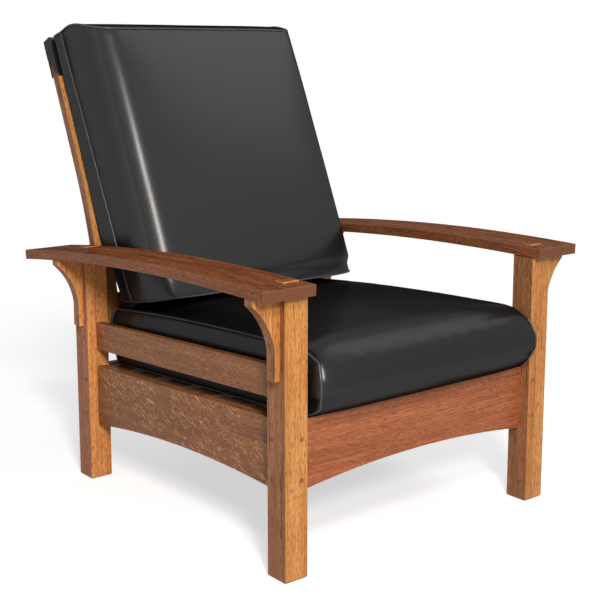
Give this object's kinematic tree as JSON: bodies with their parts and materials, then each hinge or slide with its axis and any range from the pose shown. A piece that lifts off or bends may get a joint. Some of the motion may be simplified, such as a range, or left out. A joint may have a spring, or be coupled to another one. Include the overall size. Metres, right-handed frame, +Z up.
{
  "type": "reclining armchair",
  "caption": "Oak mission armchair with bow arms, slatted back on pivots, adjusting bar behind it, and loose leather seat and back cushions.",
  "frame": {"origin": "on the floor below the middle of the whole chair", "axes": "+X across the chair, to the right seen from the front and so on the sitter's left, +Y to the rear, +Z up; the sitter faces -Y; names with _left are on the -X side"},
  "size_m": [0.866, 1.0661, 1.0591],
  "materials": {
    "oak": "satin",
    "arm_oak": "gloss",
    "deck_oak": "matte",
    "leather": "gloss",
    "steel": "satin"
  },
  "bodies": {
    "frame": {"post_front_left": "oak", "post_front_right": "oak", "post_rear_left": "oak", "post_rear_right": "oak", "corbel_front_left": "oak", "corbel_front_right": "oak", "corbel_rear_left": "oak", "corbel_rear_right": "oak", "arm_left": "arm_oak", "arm_right": "arm_oak", "side_rail_left": "oak", "side_rail_right": "oak", "side_slat_left": "oak", "side_slat_right": "oak", "seat_cleat_left": "deck_oak", "seat_cleat_right": "deck_oak", "pivot_pin_left": "steel", "pivot_pin_right": "steel", "pivot_spacer_left": "oak", "pivot_spacer_right": "oak", "front_rail": "oak", "rear_rail": "oak", "joint_pegs": "oak", "cleat_screws": "steel", "seat_slat_1": "deck_oak", "seat_slat_2": "deck_oak", "seat_slat_3": "deck_oak", "seat_slat_4": "deck_oak", "seat_slat_5": "deck_oak", "seat_slat_6": "deck_oak"},
    "back": {"back_stile_left": "oak", "back_stile_right": "oak", "back_top_rail": "oak", "back_bottom_rail": "oak", "back_slat_1": "oak", "back_slat_2": "oak", "back_slat_3": "oak", "back_slat_4": "oak", "back_slat_5": "oak"},
    "adjuster": {"adjusting_pin_left": "steel", "adjusting_pin_right": "steel", "adjusting_bar": "oak"},
    "seat_pad": {"seat_cushion": "leather"},
    "back_pad": {"back_cushion": "leather", "back_cushion_hood": "leather"}
  },
  "joints": [
    {"name": "back_recline", "type": "hinge", "parent": "frame", "child": "back", "pos_m": [0, 0.2722, 0.345], "axis": [-1, 0, 0], "range_deg": [0, 15]},
    {"name": "bar_shift", "type": "slide", "parent": "frame", "child": "adjuster", "axis": [0, 0.9935, -0.1142], "range_m": [0, 0.05669]},
    {"name": "seat_cushion_out", "type": "slide", "parent": "frame", "child": "seat_pad", "axis": [0, -0.9986, 0.0523], "range_m": [0, 0.3]},
    {"name": "back_cushion_lift", "type": "slide", "parent": "back", "child": "back_pad", "axis": [0, 0.4019, 0.9157], "range_m": [0, 0.12]}
  ],
  "couplings": [
    {"joint": "bar_shift", "follows": "back_recline", "m_per_rad": 0.21653}
  ]
}
